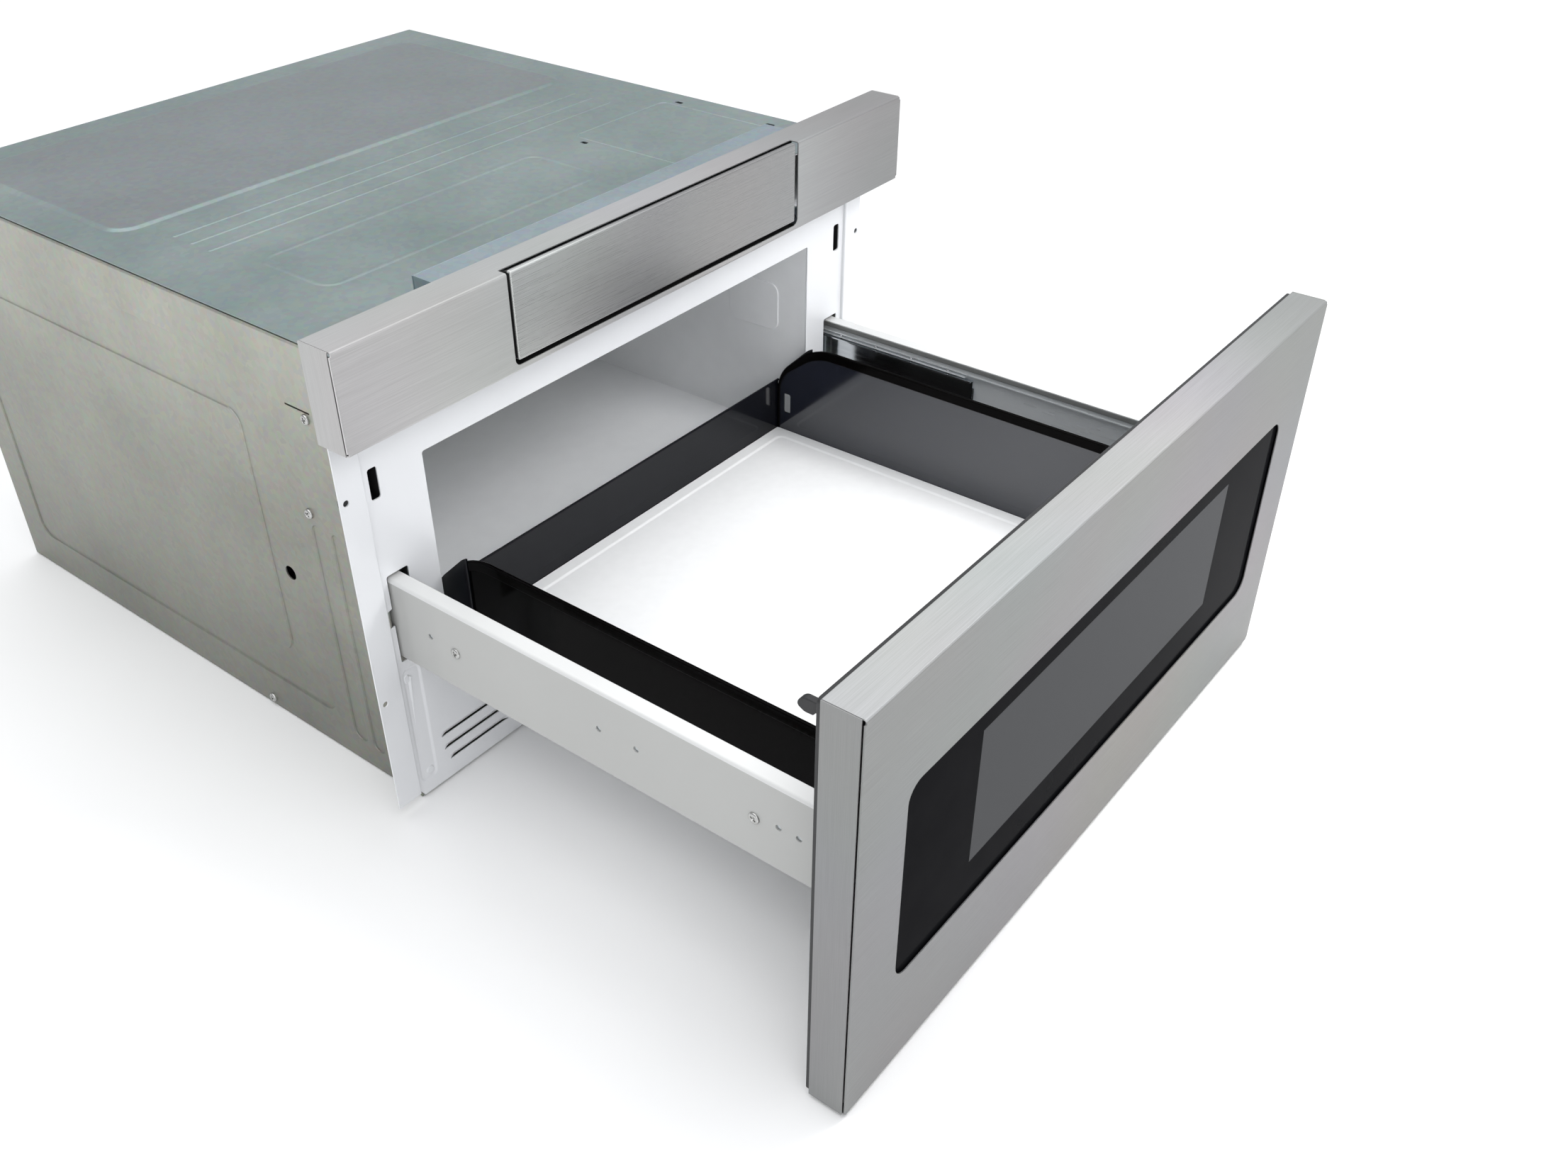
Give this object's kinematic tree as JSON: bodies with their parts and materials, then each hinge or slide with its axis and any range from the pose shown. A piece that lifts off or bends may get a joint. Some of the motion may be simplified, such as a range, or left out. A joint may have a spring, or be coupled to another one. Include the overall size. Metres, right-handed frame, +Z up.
{
  "type": "microwave drawer",
  "caption": "Built-in microwave drawer drawn out on telescopic slides, with a steel front, glass window, dark tray, galvanised case and a tilting control panel in the band above.",
  "frame": {"origin": "centre of the bottom face of the case, on the shelf that the product stands on", "axes": "+X to the viewer's right seen from the front, +Y from the front towards the rear of the case, +Z up; the drawer opens along -Y"},
  "size_m": [0.606, 0.9757, 0.4],
  "materials": {
    "stainless": "brushed along the width",
    "white_paint": "semi-gloss",
    "grey_paint": "semi-gloss",
    "galvanised": "dull metallic zinc coat",
    "zinc": "bright zinc plating",
    "black_enamel": "glossy enamel",
    "white_ceramic": "smooth ceramic",
    "black_glass": "polished",
    "black_plastic": "fine matte",
    "natural_plastic": "matte",
    "winding": "varnished",
    "laminations": "varnished steel",
    "aluminium": "plain mill",
    "circuit_board": "solder resist",
    "lamp_glass": "clear",
    "rubber": "moulded"
  },
  "bodies": {
    "chassis": {"front_band": "stainless", "panel_housing": "galvanised", "housing_back": "galvanised", "panel_motor": "black_plastic", "control_board": "circuit_board", "front_plate": "white_paint", "side_panel_right": "galvanised", "side_panel_left": "galvanised", "top_cover": "galvanised", "base_pan": "galvanised", "rear_panel": "galvanised", "cord_grommet": "rubber", "cavity_liner": "white_paint", "stirrer_cover": "natural_plastic", "waveguide": "galvanised", "stirrer_motor": "natural_plastic", "magnetron": "aluminium", "transformer_core": "laminations", "transformer_coil": "winding", "capacitor": "aluminium", "fan_shroud": "black_plastic", "fan_motor": "laminations", "oven_lamp": "lamp_glass", "latch_switch_right": "natural_plastic", "latch_switch_left": "natural_plastic", "slide_bracket_right": "galvanised", "slide_bracket_left": "galvanised", "slide_fixed_right": "zinc", "slide_fixed_left": "zinc", "drive_motor": "black_plastic"},
    "drawer": {"door_skin": "stainless", "door_glass": "black_glass", "door_frame": "white_paint", "door_screen": "black_enamel", "choke_cover": "black_plastic", "latch_hook_right": "black_plastic", "latch_hook_left": "black_plastic", "drawer_channel_right": "grey_paint", "drawer_channel_left": "grey_paint", "slide_drawer_right": "zinc", "slide_drawer_left": "zinc", "drive_rack": "natural_plastic", "tray_side_right": "black_enamel", "tray_side_left": "black_enamel", "tray_back": "black_enamel", "tray_floor": "white_ceramic"},
    "middle_right": {"slide_middle_right": "zinc"},
    "middle_left": {"slide_middle_left": "zinc"},
    "outer_cage_right": {"outer_ball_cage_right": "zinc"},
    "outer_cage_left": {"outer_ball_cage_left": "zinc"},
    "inner_cage_right": {"inner_ball_cage_right": "zinc"},
    "inner_cage_left": {"inner_ball_cage_left": "zinc"},
    "pinion": {"drive_pinion": "natural_plastic"},
    "control_panel": {"panel_face": "stainless", "panel_carrier": "black_plastic", "touch_glass": "black_glass"},
    "fan": {"fan_blade": "black_plastic"},
    "stirrer": {"stirrer": "aluminium"}
  },
  "joints": [
    {"name": "drawer_slide", "type": "slide", "parent": "chassis", "child": "drawer", "axis": [0, -1, 0], "range_m": [-0.384, 0]},
    {"name": "middle_right_slide", "type": "slide", "parent": "chassis", "child": "middle_right", "axis": [0, -1, 0], "range_m": [-0.192, 0]},
    {"name": "middle_left_slide", "type": "slide", "parent": "chassis", "child": "middle_left", "axis": [0, -1, 0], "range_m": [-0.192, 0]},
    {"name": "outer_cage_right_slide", "type": "slide", "parent": "chassis", "child": "outer_cage_right", "axis": [0, -1, 0], "range_m": [-0.288, 0]},
    {"name": "outer_cage_left_slide", "type": "slide", "parent": "chassis", "child": "outer_cage_left", "axis": [0, -1, 0], "range_m": [-0.288, 0]},
    {"name": "inner_cage_right_slide", "type": "slide", "parent": "chassis", "child": "inner_cage_right", "axis": [0, -1, 0], "range_m": [-0.096, 0]},
    {"name": "inner_cage_left_slide", "type": "slide", "parent": "chassis", "child": "inner_cage_left", "axis": [0, -1, 0], "range_m": [-0.096, 0]},
    {"name": "pinion_spin", "type": "hinge", "parent": "chassis", "child": "pinion", "pos_m": [-0.26, -0.2498, 0.123], "axis": [1, 0, 0], "continuous": true},
    {"name": "panel_tilt", "type": "hinge", "parent": "chassis", "child": "control_panel", "pos_m": [0, -0.3068, 0.338], "axis": [1, 0, 0], "range_deg": [0, 45]},
    {"name": "fan_spin", "type": "hinge", "parent": "chassis", "child": "fan", "pos_m": [0.17, 0.2629, 0.24], "axis": [0, 1, 0], "continuous": true},
    {"name": "stirrer_spin", "type": "hinge", "parent": "chassis", "child": "stirrer", "pos_m": [0, -0.0668, 0.306], "axis": [0, 0, 1], "continuous": true}
  ],
  "couplings": [
    {"joint": "middle_right_slide", "follows": "drawer_slide", "ratio": 0.5},
    {"joint": "middle_left_slide", "follows": "drawer_slide", "ratio": 0.5},
    {"joint": "outer_cage_right_slide", "follows": "drawer_slide", "ratio": 0.75},
    {"joint": "outer_cage_left_slide", "follows": "drawer_slide", "ratio": 0.75},
    {"joint": "inner_cage_right_slide", "follows": "drawer_slide", "ratio": 0.25},
    {"joint": "inner_cage_left_slide", "follows": "drawer_slide", "ratio": 0.25},
    {"joint": "pinion_spin", "follows": "drawer_slide", "rad_per_m": 62.5}
  ]
}
